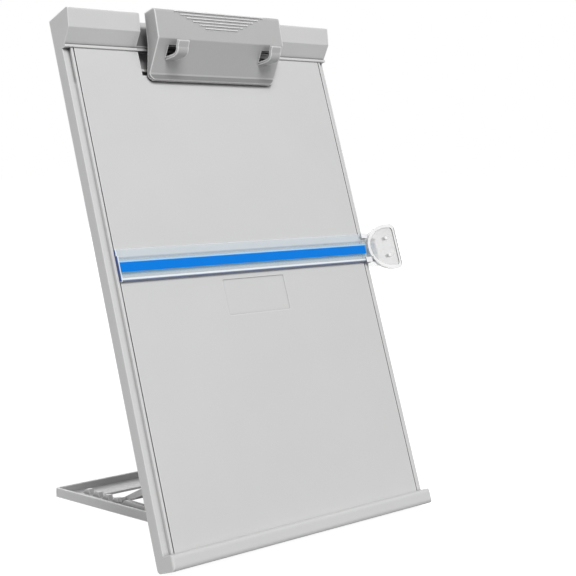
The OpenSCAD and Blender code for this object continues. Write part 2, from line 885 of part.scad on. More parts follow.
module clip_jaw_strip() {
    half = clip_w / 2 - clip_t - seat_gap;
    color([0.24, 0.24, 0.25])
        on_board()
            slab(-half, half, panel_front + seat_gap, clip_heel_depth + 0.8 - seat_gap,
                clip_low_v + 0.8 + seat_gap, clip_low_v + 3.4 - seat_gap);
}

// ---- Line guide ----

module guide_place() {
    on_board()
        translate([0, 0, guide_v])
            children();
}

// Side of the ruler: a bevelled lower edge and a thin flange above
function ruler_outline() = [
    [ruler_back, -ruler_h / 2], [ruler_front - 0.6, -ruler_h / 2],
    [ruler_front, -ruler_h / 2 + 0.8], [ruler_front, ruler_h / 2 - flange_h],
    [ruler_back + flange_t, ruler_h / 2 - flange_h - 0.3],
    [ruler_back + flange_t, ruler_h / 2], [ruler_back, ruler_h / 2]
];

module guide_ruler() {
    knuckle_low = -ear_out + ear_h + move_gap;
    knuckle_top = 0.4;
    color([0.78, 0.86, 0.94, 0.5])
        guide_place()
            difference() {
                union() {
                    difference() {
                        intersection() {
                            across(ruler_x0, ruler_x1, ruler_outline());
                            plate(ruler_back - 1, ruler_front + 1)
                                polygon(rounded([
                                    [ruler_x0, -ruler_h / 2], [ruler_x1, -ruler_h / 2],
                                    [ruler_x1, ruler_h / 2], [ruler_x0, ruler_h / 2]
                                ], [1, 0.5, 0.5, 1]));
                        }
                        // bed of the coloured stripe, in the ruler's face
                        slab(stripe_x0 - seat_gap, stripe_x1 + seat_gap,
                            ruler_front - stripe_t - seat_gap, ruler_front + 1,
                            -stripe_drop - stripe_h / 2 - seat_gap,
                            -stripe_drop + stripe_h / 2 + seat_gap);
                    }
                    // the knuckle that turns on the hinge pin
                    translate([0, 0, knuckle_low])
                        linear_extrude(knuckle_top - knuckle_low)
                            polygon(concat(
                                [[guide_axis[0] + guide_knuckle_r, -ruler_back - 0.2]],
                                [[guide_axis[0] - guide_knuckle_r, -ruler_back - 0.2]],
                                arc([guide_axis[0], -guide_axis[1]], guide_knuckle_r, 180, 0, 14)
                            ));
                    // raised bosses over the rail, at both edges
                    for (low = [-ruler_h / 2 - 0.4, ruler_h / 2 - boss_h])
                        slab(boss_x0, boss_x0 + boss_w, ruler_back + 0.4, ruler_front + boss_rise,
                            low, low + boss_h);
                }
                upright_rod(guide_axis[0], guide_axis[1], -ruler_h, ruler_h,
                    guide_pin_d + 2 * run_gap);
            }
}

module guide_stripe() {
    color([0.02, 0.42, 0.86])
        guide_place()
            slab(stripe_x0, stripe_x1, ruler_front - stripe_t, ruler_front,
                -stripe_drop - stripe_h / 2, -stripe_drop + stripe_h / 2);
}

// Outline of a thumb plate: straight at the outer side, round at the inner
module thumb_shape(shrink) {
    r = thumb_h / 2 - shrink;
    outer = thumb_far - shrink;
    middle = thumb_far - 9;
    bulge = middle - thumb_near - shrink;
    corner = thumb_corner_r - shrink / 2;
    oval = [for (a = [90 : 9 : 270]) [middle + bulge * cos(a), r * sin(a)]];
    p = concat([[outer, -r], [outer, r]], oval);
    translate([0, -thumb_drop])
        polygon(rounded(p, [for (i = [0 : len(p) - 1]) i < 2 ? corner : 0]));
}

// The plate lies on the ruler's end, to which it is bonded
module guide_thumb_plate() {
    color([0.86, 0.88, 0.90, 0.6])
        guide_place()
            difference() {
                union() {
                    plate(thumb_back, thumb_back + thumb_t)
                        thumb_shape(0);
                    difference() {
                        plate(thumb_back, thumb_back + thumb_t + thumb_rim_rise)
                            thumb_shape(0);
                        plate(thumb_back + thumb_t, thumb_back + thumb_t + thumb_rim_rise + 1)
                            thumb_shape(thumb_rim);
                    }
                }
                // room for the ruler's bosses
                slab(boss_x0 - 1, boss_x0 + boss_w + seat_gap, 0, ruler_front + 4,
                    ruler_h / 2 - boss_h - seat_gap, ruler_h / 2 + 1);
                slab(boss_x0 - 1, boss_x0 + boss_w + seat_gap, 0, ruler_front + 4,
                    -ruler_h / 2 - 1, -ruler_h / 2 - 0.4 + boss_h + seat_gap);
                at_studs()
                    cylinder(h = 30, d = stud_d + 2 * run_gap);
            }
}

module at_studs() {
    for (s = [-1, 1])
        translate([stud_x, 0, -thumb_drop + s * stud_gap / 2])
            rotate([90, 0, 0])
                children();
}

// Bright studs pressed through the thumb plate, beside the spring's leg
module guide_thumb_studs() {
    color([0.95, 0.95, 0.95])
        guide_place()
            at_studs()
                translate([0, 0, thumb_back - 1.6])
                    cylinder(h = thumb_t + 2.2, d = stud_d);
}

// Friction pad under the ruler, which presses on the rail's land
module guide_front_pad() {
    color([0.86, 0.86, 0.84])
        guide_place()
            slab(board_w / 2 - land_w + 0.3, board_w / 2 - 0.5, rail_depth + seat_gap, ruler_back,
                -ruler_h / 2 + pad_end, ruler_h / 2 - pad_end);
}

module guide_back_jaw() {
    color([0.84, 0.86, 0.88, 0.6])
        guide_place()
            difference() {
                union() {
                    plate(back_jaw_back, back_jaw_front)
                        polygon(rounded([
                            [jaw_in, -ruler_h / 2], [guide_axis[0] + 2, -ruler_h / 2],
                            [guide_axis[0] + 2, ruler_h / 2], [jaw_in, ruler_h / 2]
                        ], [2, 0, 0, 2]));
                    plate(back_jaw_back, back_jaw_front)
                        thumb_shape(0);
                    for (s = [-1, 1])
                        translate([0, 0, s * (ear_out - ear_h / 2) - ear_h / 2])
                            linear_extrude(ear_h)
                                polygon(concat(
                                    [[guide_axis[0] + guide_knuckle_r, -back_jaw_front + 0.2]],
                                    arc([guide_axis[0], -guide_axis[1]], guide_knuckle_r, 0, -180, 14),
                                    [[guide_axis[0] - guide_knuckle_r, -back_jaw_front + 0.2]]
                                ));
                    at_studs()
                        translate([0, 0, back_jaw_front - 0.5])
                            cylinder(h = 1.9, d = stud_d);
                }
                upright_rod(guide_axis[0], guide_axis[1], -ruler_h, ruler_h,
                    guide_pin_d + 2 * run_gap);
                // bed of the friction pad
                slab(jaw_in + 1.5, board_w / 2 - 1.5, back_jaw_front - 0.6, 1,
                    -ruler_h / 2 + pad_end, ruler_h / 2 - pad_end);
            }
}

module guide_back_pad() {
    color([0.86, 0.86, 0.84])
        guide_place()
            slab(jaw_in + 1.5 + seat_gap, board_w / 2 - 1.5 - seat_gap,
                back_jaw_front - 0.6, -seat_gap,
                -ruler_h / 2 + pad_end + seat_gap, ruler_h / 2 - pad_end - seat_gap);
}

module guide_pin() {
    color([0.35, 0.35, 0.37])
        guide_place()
            upright_rod(guide_axis[0], guide_axis[1], -ear_out - 0.3, ear_out + 0.3, guide_pin_d);
}

// A coil round the pin whose two legs push the thumb plates apart
module guide_spring() {
    rings = 8 * guide_spring_turns + 4;
    low = 1.2;
    wind = [for (k = [0 : rings])
        let (a = 90 + 45 * k)
        [guide_axis[0] + guide_coil_r * cos(a), -guide_axis[1] + guide_coil_r * sin(a),
            low + guide_coil_pitch * k / 8]];
    first = wind[0];
    last = wind[rings];
    rear_touch = -back_jaw_front - guide_wire_d / 2 - 0.05;
    front_touch = -thumb_back + guide_wire_d / 2 + 0.05;
    color([0.62, 0.63, 0.66])
        guide_place()
            tube(concat(
                [[first[0] + 5, rear_touch, first[2]], [first[0] + 1, first[1] + 0.1, first[2]]],
                wind,
                [[last[0] + 1, last[1] - 0.1, last[2]], [last[0] + 5, front_touch, last[2]]]
            ), guide_wire_d);
}

// ---- Stand ----

// Plan of the base, which widens from the hinge to the rear
module base_plan(shrink) {
    near = base_front_w / 2 - shrink;
    far = base_w / 2 - shrink;
    corner = base_corner_r - shrink;
    polygon(rounded([
        [-near, hinge_y], [near, hinge_y],
        [far, base_rear_y - shrink], [-far, base_rear_y - shrink]
    ], [0, 0, corner, corner]));
}

// One rack: saw teeth that rise from the rear to an upright front face, and a
// rail that runs on to the hinge
module rack() {
    top = base_floor + tooth_rise;
    root = base_floor - 0.5;
    crest = tooth_rise * tan(tooth_slope);
    rail_end = hold_y - tooth_pitch + crest + tooth_flat;
    rail_low = hold_y - tooth_pitch + tooth_l;
    for (i = [0 : tooth_count - 1])
        translate([0, hold_y + i * tooth_pitch, 0])
            across_table(rack_in, rack_in + rack_t, [
                [0, root], [0, base_floor], [crest, top], [crest + tooth_flat, top],
                [tooth_l, base_floor], [tooth_l, root]
            ]);
    across_table(rack_in, rack_in + rack_t, [
        [window_front_y - 6, root], [window_front_y - 2, top],
        [rail_end, top], [rail_low, base_floor], [rail_low, root]
    ]);
}

module base_frame() {
    half = base_front_w / 2;
    color([0.74, 0.74, 0.74])
        on_table()
            difference() {
                union() {
                    difference() {
                        linear_extrude(base_h)
                            base_plan(0);
                        translate([0, 0, base_floor])
                            linear_extrude(base_h)
                                base_plan(base_wall);
                        // the floor stops short of the hinge
                        translate([-half + base_wall, hinge_y - 5, -1])
                            cube([2 * (half - base_wall), strip_y - hinge_y + 5, base_h + 2]);
                        translate([-base_window / 2, window_front_y, -1])
                            cube([base_window, window_rear_y - window_front_y, base_h]);
                        // clear the upright corner behind the hinge's round end
                        translate([-half - 1, hinge_y - 10, -1])
                            cube([2 * half + 2, 10, base_h + 2]);
                    }
                    both_sides() {
                        rack();
                        base_hinge_end();
                    }
                    // rib across the front floor
                    translate([-half + 1, window_front_y - 1.6, base_floor - 0.2])
                        cube([2 * half - 2, 1.6, 2.2]);
                }
                both_sides()
                    translate([half - base_wall - 1, hinge_y, hinge_z])
                        rotate([0, 90, 0])
                            cylinder(h = base_wall + 2, d = stand_pin_d + 2 * run_gap);
            }
}

// Round end of a side wall about the hinge pin
module base_hinge_end() {
    translate([base_front_w / 2 - base_wall, hinge_y, hinge_z])
        rotate([0, 90, 0])
            cylinder(h = base_wall, d = base_h);
}

module base_pins() {
    length = lug_t + move_gap + base_wall - 0.2;
    color([0.60, 0.61, 0.63])
        on_table()
            both_sides()
                translate([base_front_w / 2 - length, hinge_y, hinge_z])
                    rotate([0, 90, 0])
                        cylinder(h = length, d = stand_pin_d);
}

// The prop lies along +Y from its pin, in its own plane, and is turned down
module prop_place() {
    on_table()
        translate([0, prop_point[0], prop_point[1]])
            rotate([-prop_slope, 0, 0])
                children();
}

// Side of one arm, from the round pivot end to the foot
function arm_outline() = concat(
    arc([0, 0], lug_r + 0.4, 90, 270, 14),
    [[prop_l * 0.55, -prop_depth / 2], [prop_l, -foot_d / 2],
        [prop_l, foot_d / 2], [prop_l * 0.55, prop_depth / 2]]
);

module prop_frame() {
    web_y = lug_r + 9;
    web_t = 2;
    color([0.66, 0.66, 0.66])
        prop_place()
            difference() {
                union() {
                    both_sides()
                        across_table(arm_out - prop_arm_t, arm_out, arm_outline());
                    translate([-arm_out + 1, web_y, foot_d / 2 - web_t])
                        cube([2 * arm_out - 2, prop_l - web_y, web_t]);
                    for (x = [-arm_out / 3, arm_out / 3])
                        translate([x - rib_t / 2, web_y, -foot_d / 2 + 0.4])
                            cube([rib_t, prop_l - web_y, foot_d - 1]);
                    translate([-arm_out + 1, web_y, -foot_d / 2 + 0.4])
                        cube([2 * arm_out - 2, 2.4, foot_d - 1]);
                    translate([-foot_half, prop_l, 0])
                        rotate([0, 90, 0])
                            cylinder(h = 2 * foot_half, d = foot_d);
                }
                translate([-arm_out - 1, 0, 0])
                    rotate([0, 90, 0])
                        cylinder(h = 2 * arm_out + 2, d = stand_pin_d + 2 * run_gap);
            }
}

module prop_pins() {
    length = lug_t + move_gap + prop_arm_t;
    color([0.60, 0.61, 0.63])
        on_table()
            both_sides()
                translate([arm_out - length, prop_point[0], prop_point[1]])
                    rotate([0, 90, 0])
                        cylinder(h = length, d = stand_pin_d);
}

board_frame();
front_panel();
rear_cover();
cover_screws();
clip_bracket();
bracket_screws();
clip_pin();
clip_spring_left();
clip_spring_right();
clip_lever();
clip_jaw_strip();
guide_ruler();
guide_stripe();
guide_thumb_plate();
guide_thumb_studs();
guide_front_pad();
guide_back_jaw();
guide_back_pad();
guide_pin();
guide_spring();
base_frame();
base_pins();
prop_frame();
prop_pins();
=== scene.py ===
import json
import math
from functools import cached_property

import bmesh
import bpy
import numpy as np
from bpy.props import FloatProperty, FloatVectorProperty, PointerProperty
from mathutils import Matrix, Vector


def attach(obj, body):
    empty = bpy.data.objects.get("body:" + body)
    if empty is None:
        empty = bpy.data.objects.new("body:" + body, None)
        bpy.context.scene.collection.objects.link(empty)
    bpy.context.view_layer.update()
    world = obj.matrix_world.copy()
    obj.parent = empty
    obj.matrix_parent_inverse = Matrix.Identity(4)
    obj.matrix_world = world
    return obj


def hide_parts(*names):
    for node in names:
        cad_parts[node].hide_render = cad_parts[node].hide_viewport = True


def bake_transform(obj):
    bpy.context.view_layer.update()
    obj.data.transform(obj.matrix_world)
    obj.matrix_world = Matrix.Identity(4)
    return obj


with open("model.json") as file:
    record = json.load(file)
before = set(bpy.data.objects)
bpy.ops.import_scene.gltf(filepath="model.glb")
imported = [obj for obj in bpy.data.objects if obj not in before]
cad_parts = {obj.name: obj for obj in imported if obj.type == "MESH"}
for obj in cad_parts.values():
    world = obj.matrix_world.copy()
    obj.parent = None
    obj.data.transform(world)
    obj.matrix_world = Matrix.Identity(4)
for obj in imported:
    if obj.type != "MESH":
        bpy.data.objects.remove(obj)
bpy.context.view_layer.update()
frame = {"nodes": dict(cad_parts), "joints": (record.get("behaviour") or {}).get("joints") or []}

bl_info = {
    "name": "Copy Holder with Line Guide",
    "version": (1, 0, 0),
    "blender": (4, 5, 0),
    "location": "View3D > Sidebar > Copy Holder",
    "description": "Finishes a desk copy holder: board, paper clip, line guide and stand",
    "category": "Object",
}

NODES = frame["nodes"]
JOINTS = {joint["name"]: joint for joint in frame["joints"]}

# Across the board to the right, up it, and out of its front.
ACROSS = np.array([1.0, 0.0, 0.0])
UP = np.array(JOINTS["guide_slide"]["axis"], float)
UP /= np.linalg.norm(UP)
OUT = np.cross(ACROSS, UP)

# The guide's hinge pin stands 6 mm in front of the board's back, and 183.6 mm up it.
GUIDE_PIN = np.array(JOINTS["guide_lift"]["pos_m"], float)
GUIDE_V = 0.1836
PIN_DEPTH = 0.006
PIN_ACROSS = float(GUIDE_PIN[0])
ORIGIN = GUIDE_PIN * [0, 1, 1] - UP * GUIDE_V - OUT * PIN_DEPTH


def on_board(across, out, up):
    """World points: so far across from the middle, out from the back and up from the heel."""
    across, out, up = np.broadcast_arrays(across, out, up)
    return ORIGIN + across[..., None] * ACROSS + out[..., None] * OUT + up[..., None] * UP


# Sizes in metres, as in the part's source: across the board from its middle, and out
# of its back. Heights of the guide are from its middle, and all others from the heel.

# The board, with the groove round its panel and the notch in its header.
LEDGE_TOP = 0.0098
HEADER_LOW = 0.325
HEADER_TOP = 0.343
PANEL_FRONT = 0.0107
GROOVE_IN = 0.1068
GROOVE_OUT = 0.1079
NOTCH_DEPTH = 0.0195
NOTCH_HALF = 0.0583

# The clip.
CLIP_LOW = 0.3042
CLIP_FACE_LOW = 0.3080
CLIP_RIM = 0.0008

# The ruler with its flange, bosses and stripe. The film lies sunk in the ruler's face
# and stands a little out of it, and its blue light reaches past it.
RULER_H = 0.0206
RULER_END = -0.108
RULER_FRONT = 0.0132
RULER_CORNER = (-0.0092, -0.0081)
RULER_UNDERSIDE = -0.0094
FLANGE_LOW = 0.0050
FLANGE_STEP = 0.0008
STRIPE = (-0.0043, 0.0017)
STRIPE_ENDS = (-0.1070, 0.1092)
STRIPE_FILM = (0.0003, 0.00003)
GLOW_LOW = 0.0016
GLOW_HIGH = 0.0012
BOSS_FRONT = 0.0141

# The thumb plate, and the smaller one behind it: the straight side reaches back to the
# middle of the oval.
THUMB_H = 0.0328
THUMB_DROP = 0.0008
THUMB_NEAR = 0.110
THUMB_FAR = 0.1415
THUMB_STRAIGHT = 0.009
THUMB_CORNER = 0.004
THUMB_EDGE = 0.0007
THUMB_FACE = 0.0147
THUMB_RIM = 0.0156
REAR_SHRINK = 0.0055

# The jaw behind the rail, the ears of its hinge, and the spring between its coil and
# the end of its front leg. OVERLAP is how far joined solids reach into each other.
JAW_IN = 0.101
JAW_PAST_PIN = 0.002
JAW_DEPTH = (-0.0024, -0.0004)
EAR_OUT = RULER_H / 2 - 0.0005
EAR_H = 0.0022
EAR_R = 0.0026
SPRING_TURN = (0.0082, 0.0120)
OVERLAP = 0.0002

# The base: its rear wall's inner face, the top of its floor, and its height.
BASE_REAR = 0.1697
BASE_FLOOR = 0.0016
BASE_H = 0.0064

# Widths over which one tone passes into the next.
HAIR = 0.0003
CRISP = 0.0001


def linear(colour):
    """A screen colour as the linear light that the shaders work in."""
    c = np.asarray(colour, float)
    return tuple(np.where(c <= 0.04045, c / 12.92, ((c + 0.055) / 1.055) ** 2.4))


# ---------------------------------------------------------------------------
# Settings


class BoardSettings(bpy.types.PropertyGroup):
    grey: FloatVectorProperty(
        name="Board grey", description="Colour of the frame and the panel",
        subtype="COLOR", size=3, min=0, max=1, default=(0.815, 0.815, 0.815))
    clip_grey: FloatVectorProperty(
        name="Clip grey", description="Colour of the paper clip",
        subtype="COLOR", size=3, min=0, max=1, default=(0.715, 0.715, 0.715))
    grain: FloatProperty(
        name="Grain", description="Size of the moulded grain",
        subtype="DISTANCE", unit="LENGTH", default=0.0009, min=0.0002, max=0.004)


class GuideSettings(bpy.types.PropertyGroup):
    tint: FloatVectorProperty(
        name="Clear tint", description="Tint of the clear ruler and thumb plates",
        subtype="COLOR", size=3, min=0, max=1, default=(0.92, 0.97, 1.0))
    stripe: FloatVectorProperty(
        name="Stripe", description="Colour of the reading stripe",
        subtype="COLOR", size=3, min=0, max=1, default=(0.0, 0.49, 0.885))


class StandSettings(bpy.types.PropertyGroup):
    # A lighter grey than the board's, as painted light on the base's walls.
    grey: FloatVectorProperty(
        name="Stand grey", description="Colour of the base and the prop",
        subtype="COLOR", size=3, min=0, max=1, default=(0.88, 0.88, 0.88))


class StageSettings(bpy.types.PropertyGroup):
    key: FloatProperty(
        name="Key light", description="Light that the soft key lamp throws on the board",
        default=0.82, min=0, max=4)
    fill: FloatProperty(
        name="Rear fill", description="Light that the lamp behind throws on the back",
        default=0.34, min=0, max=4)
    side: FloatProperty(
        name="Side light", description="Light that the low lamp throws on the left walls",
        default=0.16, min=0, max=4)
    sky: FloatProperty(
        name="Sky", description="Strength of the even light from all round",
        default=0.25, min=0, max=3)


# ---------------------------------------------------------------------------
# Shaders


class Flow:
    """A socket's value in a shader, on which Python's operators add Math nodes."""

    def __init__(self, shop, socket):
        self.shop = shop
        self.socket = socket

    def _math(self, operation, *values):
        return self.shop.make(
            "ShaderNodeMath", {"operation": operation}, dict(enumerate(values)))

    def __add__(self, other):
        return self._math("ADD", self, other)

    __radd__ = __add__

    def __mul__(self, other):
        return self._math("MULTIPLY", self, other)

    __rmul__ = __mul__

    def __sub__(self, other):
        return self._math("SUBTRACT", self, other)

    def __rsub__(self, other):
        return self._math("SUBTRACT", other, self)

    def above(self, level, soft):
        """Rises from 0 to 1 about a level, over a soft width."""
        return self.shop.make("ShaderNodeMapRange", {"clamp": True}, {
            "Value": self, "From Min": level - soft / 2, "From Max": level + soft / 2})

    def between(self, low, high, soft):
        """1 between two levels and 0 outside them."""
        return self.above(low, soft) * (1 - self.above(high, soft))


class Shop:
    """Makes the nodes of one material, or of the sky."""

    def __init__(self, owner, output="ShaderNodeOutputMaterial"):
        self.owner = owner
        self.output = output
        owner.use_nodes = True
        self.tree = owner.node_tree
        self.tree.nodes.clear()

    @cached_property
    def place(self):
        """The place on the object, in its own coordinates."""
        return self.make("ShaderNodeTexCoord", {}, {}, "Object")

    def make(self, kind, settings, inputs, output=0):
        """A node of the given kind; settings are set first, then inputs are values or Flows."""
        node = self.tree.nodes.new(kind)
        for key, value in settings.items():
            setattr(node, key, value)
        for key, value in inputs.items():
            socket = node.inputs[key]
            if isinstance(value, Flow):
                self.tree.links.new(value.socket, socket)
            else:
                socket.default_value = value
        return Flow(self, None if output is None else node.outputs[output])

    def noise(self, scale, detail=2.0, place=None):
        """Cloudy noise between 0 and 1 about a middle of 0.5."""
        return self.make("ShaderNodeTexNoise", {}, {
            "Vector": place or self.place, "Scale": scale, "Detail": detail, "Roughness": 0.55})

    def tones(self, factor, first, second):
        """The first colour where the factor is 0 and the second where it is 1."""
        first, second = (c if isinstance(c, Flow) else (*c, 1.0) for c in (first, second))
        return self.make("ShaderNodeMix", {"data_type": "RGBA"}, {
            "Factor": factor, 6: first, 7: second}, 2)

    def along(self, direction, start):
        """Distance along a direction of the board, from a point on it."""
        reach = self.make("ShaderNodeVectorMath", {"operation": "DOT_PRODUCT"}, {
            0: self.place, 1: tuple(direction)}, "Value")
        return reach - float(np.dot(start, direction))

    def nearness(self, distance, inside):
        """Near 1 by a corner: an outer one where inside is true, else a crease."""
        open_share = self.make("ShaderNodeAmbientOcclusion", {
            "inside": inside, "only_local": True, "samples": 8}, {"Distance": distance}, "AO")
        return (1 - open_share).above(0.25, 0.5)

    def hollow(self, distance):
        """1 deep in a gap between pieces that is narrower than the distance."""
        open_share = self.make("ShaderNodeAmbientOcclusion", {"samples": 8}, {
            "Distance": distance}, "AO")
        return 1 - open_share.above(0.52, 0.3)

    def rounded(self, radius):
        """The surface's normal as if its edges were rounded by the radius."""
        return self.make("ShaderNodeBevel", {"samples": 6}, {"Radius": radius})

    def bump(self, height, strength, distance, normal=None):
        """A normal that follows the height, on top of another normal if one is given."""
        inputs = {"Height": height, "Strength": strength, "Distance": distance}
        if normal:
            inputs["Normal"] = normal
        return self.make("ShaderNodeBump", {}, inputs)

    def seen(self):
        """1 for the rays that see the plain ground as white, and 0 for those that light things."""
        camera, glossy, through = (
            self.make("ShaderNodeLightPath", {}, {}, f"Is {kind} Ray")
            for kind in ("Camera", "Glossy", "Transmission"))
        return camera + glossy + through

    def finish(self, **inputs):
        """Ends the material in one shader with these inputs."""
        return self.put_out(self.make("ShaderNodeBsdfPrincipled", {}, {
            key.replace("_", " "): value for key, value in inputs.items()}))

    def put_out(self, shader):
        """Ends the nodes in a shader."""
        self.make(self.output, {}, {"Surface": shader}, None)
        return self.owner


def new_material(name):
    """The nodes of a new, empty material."""
    return Shop(bpy.data.materials.new(name))


def moulded(name, colour, grain, roughness=0.5, edge=0.0005, relief=0.10, painted_highlight=0.35, shades=()):
    """Moulded plastic: a fine grain in relief, faint flow clouds, a painted highlight on the outer
    corners and painted shade in the creases.

    The shades are places where shade is painted into the colour, and on the clip also a highlight:
    for each a function of the shop that gives its share, and what the colour is multiplied by.
    """
    shop = new_material(name)
    base = np.array(linear(colour))
    cloud = shop.noise(14.0, 3.0)
    speck = shop.noise(1.0 / grain, 2.0)
    tone = shop.tones(cloud * 0.75 + speck * 0.25, base * 0.955, np.minimum(base * 1.045, 1.0))
    # painted shade: the creases are darkened
    tone = shop.tones(shop.nearness(0.0022, False) * 0.35, tone, base * 0.15)
    for share, factor in shades:
        tone = shop.tones(share(shop), tone, base * factor)
    # painted highlight: the outer corners are lightened towards white
    tone = shop.tones(shop.nearness(0.0010, True) * painted_highlight, tone, (0.97, 0.97, 0.97))
    fine = shop.noise(0.45 / grain, 1.0)
    return shop.finish(
        Base_Color=tone,
        Roughness=roughness - 0.06 + fine * 0.12,
        Normal=shop.bump(speck, relief, grain * 0.12, shop.rounded(edge)),
    )


def clear_plastic(name, marks, tint, alpha=0.22, roughness=0.10):
    """Clear moulded plastic: thin and glossy, with faint waves in its surface.

    The marks are painted highlights and painted shade, where its corners gather the light or turn
    it away, and on the ruler painted blue light round its stripe: for each a function of the shop
    that gives its share, a colour and an opacity.
    """
    shop = new_material(name)
    wave = shop.noise(60.0, 1.0)
    cloud = shop.noise(25.0, 2.0)
    body = np.array(linear(tint))
    tone = shop.tones(cloud, body * 0.96, body)
    cover = alpha - 0.03 + cloud * 0.06
    for share, colour, opacity in marks:
        share = share(shop)
        tone = shop.tones(share, tone, linear(colour))
        cover = cover * (1 - share) + share * opacity
    return shop.finish(
        Base_Color=tone,
        Roughness=roughness + wave * 0.05,
        Alpha=cover,
        IOR=1.49,
        Specular_IOR_Level=0.3,
        Normal=shop.bump(wave, 0.05, 0.0004),
    )


def printed_film(name, colour):
    """A printed stripe under the clear plastic: even colour with a faint screen."""
    shop = new_material(name)
    base = np.array(linear(colour))
    mottle = shop.noise(220.0, 2.0)
    return shop.finish(
        Base_Color=shop.tones(mottle, base * 0.96, np.minimum(base * 1.04, 1.0)),
        Roughness=0.42 + mottle * 0.08,
        Specular_IOR_Level=0.15,
    )


def drawn_steel(name, grey, roughness=0.3):
    """Drawn wire and turned pins: fine lines along the piece."""
    shop = new_material(name)
    stretched = shop.make("ShaderNodeMapping", {}, {
        "Vector": shop.place, "Scale": (300.0, 4000.0, 4000.0)})
    lines = shop.noise(1.0, 2.0, stretched)
    base = np.full(3, grey)
    return shop.finish(
        Base_Color=shop.tones(lines, base * 0.9, base),
        Metallic=1.0,
        Roughness=roughness - 0.06 + lines * 0.14,
        Normal=shop.bump(lines, 0.06, 0.00002),
    )


def soft_rubber(name, grey):
    """Dark rubber: matt, with fine specks."""
    shop = new_material(name)
    specks = shop.noise(1800.0, 2.0)
    base = np.full(3, grey)
    return shop.finish(
        Base_Color=shop.tones(specks, base * 0.8, base * 1.2),
        Roughness=0.78 + specks * 0.1,
        Normal=shop.bump(specks, 0.25, 0.0001),
    )


def guide_up(shop):
    """Height above the guide's middle."""
    return shop.along(UP, ORIGIN + UP * GUIDE_V)


def depth(shop):
    """Distance out of the board's back."""
    return shop.along(OUT, ORIGIN)


def board_up(shop):
    """Height above the board's heel."""
    return shop.along(UP, ORIGIN)


def board_across(shop):
    """Distance across the board from its middle."""
    return shop.along(ACROSS, ORIGIN)


RULER_PAINTED_LIGHT = (
    # the stripe's blue light in the plastic on both sides of it
    (lambda s: guide_up(s).between(STRIPE[0] - GLOW_LOW, STRIPE[1] + GLOW_HIGH, GLOW_HIGH) * 0.8,
     (0.60, 0.86, 1.0), 0.3),
    (lambda s: guide_up(s).between(STRIPE[1] + HAIR, STRIPE[1] + 3 * HAIR, HAIR),
     (0.69, 0.88, 1.0), 0.9),
    # the step below the thin flange: painted shade on the step, and a painted highlight on the
    # flange
    (lambda s: guide_up(s).between(FLANGE_LOW - FLANGE_STEP, FLANGE_LOW, HAIR) * 0.8,
     (0.62, 0.70, 0.78), 0.45),
    (lambda s: guide_up(s).above(FLANGE_LOW, HAIR) * 0.8, (0.95, 0.98, 1.0), 0.34),
    # the lower corner is bright, and under it the plastic turns the light away
    (lambda s: guide_up(s).between(*RULER_CORNER, HAIR), (0.95, 0.98, 1.0), 0.85),
    (lambda s: 1 - guide_up(s).above(RULER_UNDERSIDE, HAIR), (0.45, 0.49, 0.60), 0.85),
    # the cut end: a painted highlight on its corner and painted shade on its face
    (lambda s: 1 - board_across(s).above(RULER_END + 0.0011, HAIR), (0.93, 0.97, 1.0), 0.85),
    (lambda s: 1 - board_across(s).above(RULER_END + 0.0002, HAIR), (0.22, 0.32, 0.55), 0.9),
    # the bosses over the rail: painted shade on their sides, and a painted highlight on their
    # fronts
    (lambda s: depth(s).above(RULER_FRONT + 2 * CRISP, CRISP), (0.35, 0.37, 0.42), 0.9),
    (lambda s: depth(s).above(BOSS_FRONT - CRISP, CRISP), (0.97, 0.97, 0.98), 0.95),
)
THUMB_PAINTED_LIGHT = (
    # painted shade on the inner wall of the straight side, a painted highlight on the rim's face,
    # and painted shade on its outer corner
    (lambda s: depth(s).above(THUMB_FACE + CRISP, CRISP)
     * board_across(s).above(THUMB_FAR - THUMB_CORNER, HAIR), (0.30, 0.30, 0.30), 0.92),
    (lambda s: depth(s).above(THUMB_RIM - CRISP, CRISP), (0.98, 0.98, 0.98), 0.9),
    (lambda s: depth(s).above(THUMB_RIM - CRISP, CRISP)
     * board_across(s).above(THUMB_FAR - THUMB_EDGE, HAIR), (0.45, 0.45, 0.45), 0.9),
)


def panel_groove(shop):
    """Painted shade in the narrow groove between the panel and the frame's lips."""
    sunk = 1 - depth(shop).above(PANEL_FRONT - HAIR, 2 * CRISP)
    beside = board_across(shop).between(-GROOVE_OUT, GROOVE_OUT, CRISP) * (
        1 - board_across(shop).between(-GROOVE_IN, GROOVE_IN, CRISP))
    return sunk * beside * board_up(shop).between(LEDGE_TOP, HEADER_LOW, 0.001) * 0.92


def behind_clip(shop):
    """Painted shade in the deep gaps behind the paper clip."""
    return shop.hollow(0.016) * board_up(shop).above(CLIP_LOW - 0.0018, 0.002) * 0.92


def header_notch(shop):
    """Painted shade on the back of the header's notch, in which the clip hangs."""
    low = 1 - depth(shop).above(NOTCH_DEPTH, 0.0004)
    inside = board_across(shop).between(-NOTCH_HALF, NOTCH_HALF, CRISP)
    return low * inside * board_up(shop).between(HEADER_LOW + 0.001, HEADER_TOP, 0.002) * 0.85


def clip_rim(shop):
    """Painted highlight on the corner between the clip's face and its lip."""
    return board_up(shop).between(CLIP_FACE_LOW, CLIP_FACE_LOW + CLIP_RIM, HAIR)


def clip_lip(shop):
    """The lip under the clip's face, which is turned from the light."""
    return 1 - board_up(shop).above(CLIP_FACE_LOW - 0.0002, 0.0004)


def inside_clip(shop):
    """Painted shade on the inside of the clip, seen through its two windows."""
    return shop.hollow(0.03) * board_up(shop).above(CLIP_FACE_LOW, 0.002) * 0.95


def base_rear_wall(shop):
    """The inner face of the base's rear wall, which is turned from the light."""
    back = shop.along((0, 1, 0), (0, 0, 0)).between(BASE_REAR - 0.0008, BASE_REAR + HAIR, CRISP)
    height = shop.along((0, 0, 1), (0, 0, 0)).between(BASE_FLOOR + 0.0004, BASE_H - 0.0004, HAIR)
    return back * height


